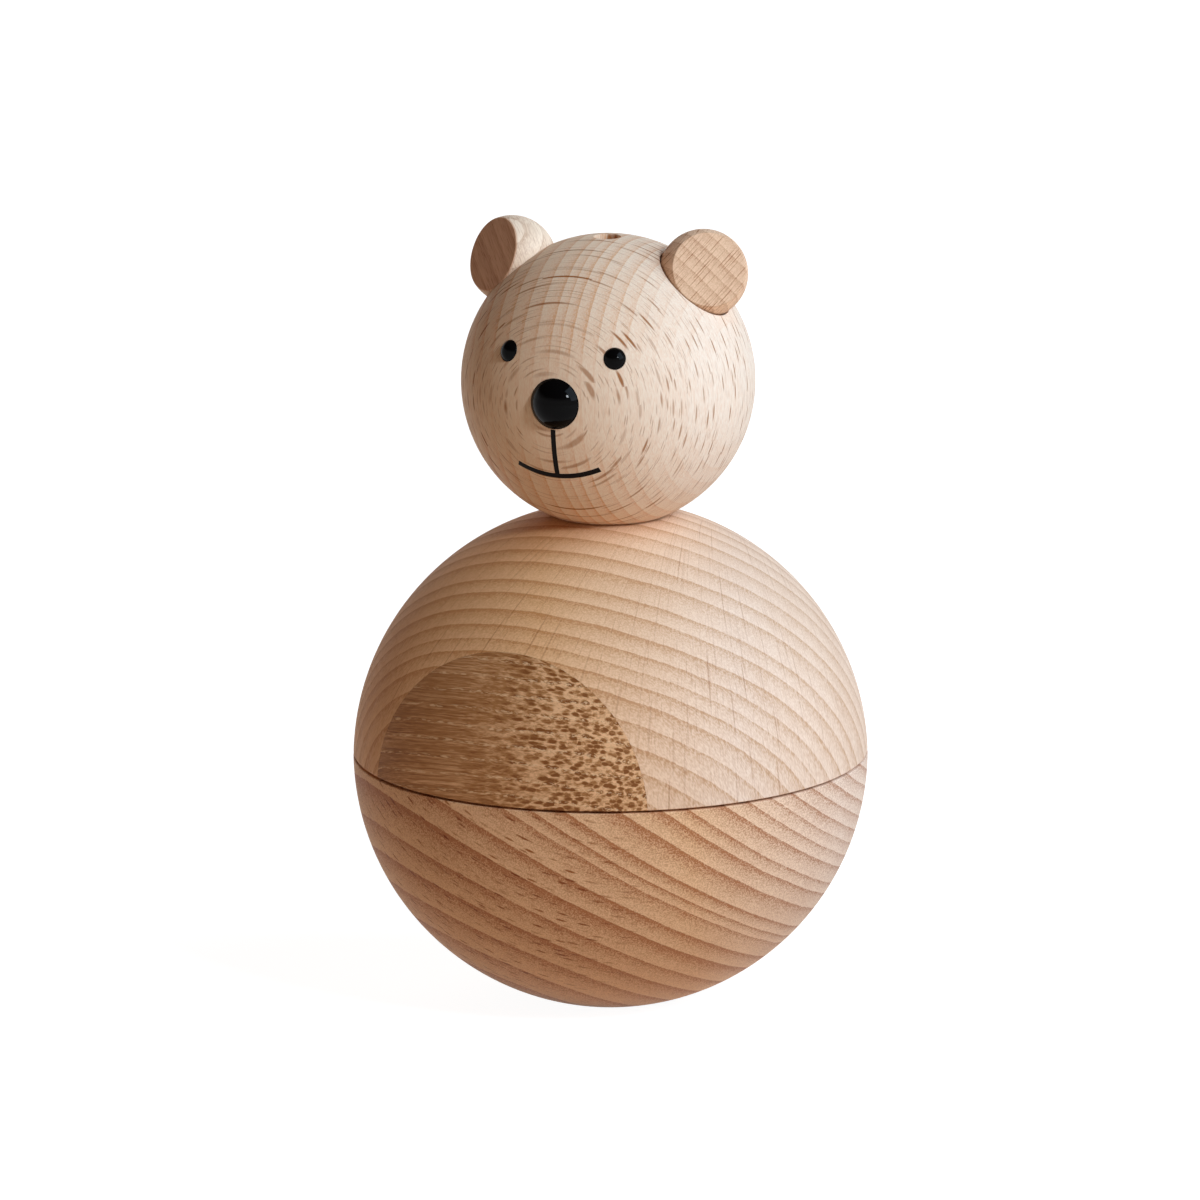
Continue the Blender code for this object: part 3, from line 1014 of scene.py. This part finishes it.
def floor_material():
    """Warm diffuse floor for bounced light. Seen directly it is lifted to white and keeps the shadow."""
    material = bpy.data.materials.new("studio_floor")
    material.use_nodes = True
    tree = material.node_tree
    tree.nodes.clear()
    plain = tree.nodes.new("ShaderNodeBsdfDiffuse")
    plain.inputs["Color"].default_value = (*FLOOR_COLOUR, 1)
    shaded = tree.nodes.new("ShaderNodeBsdfDiffuse")
    shaded.inputs["Color"].default_value = (FLOOR_SHADOW, FLOOR_SHADOW, FLOOR_SHADOW, 1)
    glow = tree.nodes.new("ShaderNodeEmission")
    glow.inputs["Color"].default_value = (*WHITE, 1)
    glow.inputs["Strength"].default_value = FLOOR_WHITE
    white = tree.nodes.new("ShaderNodeAddShader")
    tree.links.new(shaded.outputs[0], white.inputs[0])
    tree.links.new(glow.outputs[0], white.inputs[1])
    show_by_ray(tree, plain, white, tree.nodes.new("ShaderNodeOutputMaterial"))
    return material


def add_floor():
    form = bmesh.new()
    bmesh.ops.create_grid(form, x_segments=1, y_segments=1, size=FLOOR_SIZE / 2)
    floor = mesh_object("studio_floor", form)
    floor.data.materials.append(floor_material())


def add_world():
    """Dim warm room light. Seen directly, the world is a white backdrop that fades into it higher up."""
    world = bpy.data.worlds.new("studio")
    world.use_nodes = True
    bpy.context.scene.world = world
    tree = world.node_tree
    room = tree.nodes["Background"]
    room.inputs["Color"].default_value = (*ROOM_COLOUR, 1)
    room.inputs["Strength"].default_value = ROOM_LEVEL
    way = tree.nodes.new("ShaderNodeTexCoord")
    height = tree.nodes.new("ShaderNodeSeparateXYZ")
    tree.links.new(way.outputs["Generated"], height.inputs[0])
    fade = tree.nodes.new("ShaderNodeValToRGB")
    dim = tuple(ROOM_LEVEL * level for level in ROOM_COLOUR)
    for element, position, colour in zip(fade.color_ramp.elements, BACKDROP_FADE, (WHITE, dim)):
        element.position = position
        element.color = (*colour, 1)
    tree.links.new(height.outputs["Z"], fade.inputs["Fac"])
    backdrop = tree.nodes.new("ShaderNodeBackground")
    backdrop.inputs["Strength"].default_value = 1.0
    tree.links.new(fade.outputs["Color"], backdrop.inputs["Color"])
    show_by_ray(tree, room, backdrop, tree.nodes["World Output"])


def add_light(name, azimuth_deg, elevation_deg, size, level, colour, mirrored):
    """A soft light that faces the bear. At level 1 it lights a facing white surface to white.

    mirrored says whether gloss shows the light itself.
    """
    way = direction_at(azimuth_deg, elevation_deg)
    light = bpy.data.lights.new(name, "AREA")
    light.shape = "RECTANGLE"
    light.size, light.size_y = size
    light.color = colour
    light.energy = level * (math.pi * LIGHT_DISTANCE) ** 2
    lamp = bpy.data.objects.new(name, light)
    lamp.location = Vector((0, 0, AIM_HEIGHT)) + way * LIGHT_DISTANCE
    lamp.rotation_mode = "QUATERNION"
    lamp.rotation_quaternion = (-way).to_track_quat("-Z", "Y")
    lamp.visible_glossy = mirrored
    bpy.context.scene.collection.objects.link(lamp)


def add_lights():
    """A large cool window from the bear's left, a small bright patch beside it, and weak warm light."""
    add_light("window", WINDOW_AZIMUTH_DEG, WINDOW_ELEVATION_DEG,
              WINDOW_SIZE, WINDOW_LEVEL, WINDOW_COLOUR, mirrored=True)
    add_light("gleam", GLEAM_AZIMUTH_DEG, GLEAM_ELEVATION_DEG,
              GLEAM_SIZE, GLEAM_LEVEL, GLEAM_COLOUR, mirrored=True)
    add_light("fill", FILL_AZIMUTH_DEG, FILL_ELEVATION_DEG,
              FILL_SIZE, FILL_LEVEL, FILL_COLOUR, mirrored=False)
    add_light("back", BACK_AZIMUTH_DEG, BACK_ELEVATION_DEG,
              BACK_SIZE, BACK_LEVEL, BACK_COLOUR, mirrored=False)


def add_camera():
    """The photograph's view, with the image taken as square."""
    back = direction_at(CAMERA_AZIMUTH_DEG, CAMERA_ELEVATION_DEG)
    left = back.cross(UP).normalized()
    place = LOWER_CENTRE + back * CAMERA_DISTANCE
    aim = Vector((0, 0, AIM_HEIGHT)) + left * AIM_LEFT
    data = bpy.data.cameras.new("photo_view")
    data.lens = CAMERA_LENS_MM
    data.sensor_width = CAMERA_SENSOR_MM
    camera = bpy.data.objects.new("photo_view", data)
    camera.location = place
    camera.rotation_mode = "QUATERNION"
    level = (aim - place).to_track_quat("-Z", "Y")
    camera.rotation_quaternion = level @ Quaternion((0, 0, 1), math.radians(CAMERA_ROLL_DEG))
    bpy.context.scene.collection.objects.link(camera)
    bpy.context.scene.camera = camera


def main():
    make_lower_half()
    make_dowel()
    make_upper_half()
    make_head()
    make_mouth()
    add_floor()
    add_world()
    add_lights()
    add_camera()
    bpy.context.scene.view_settings.view_transform = "Standard"


main()
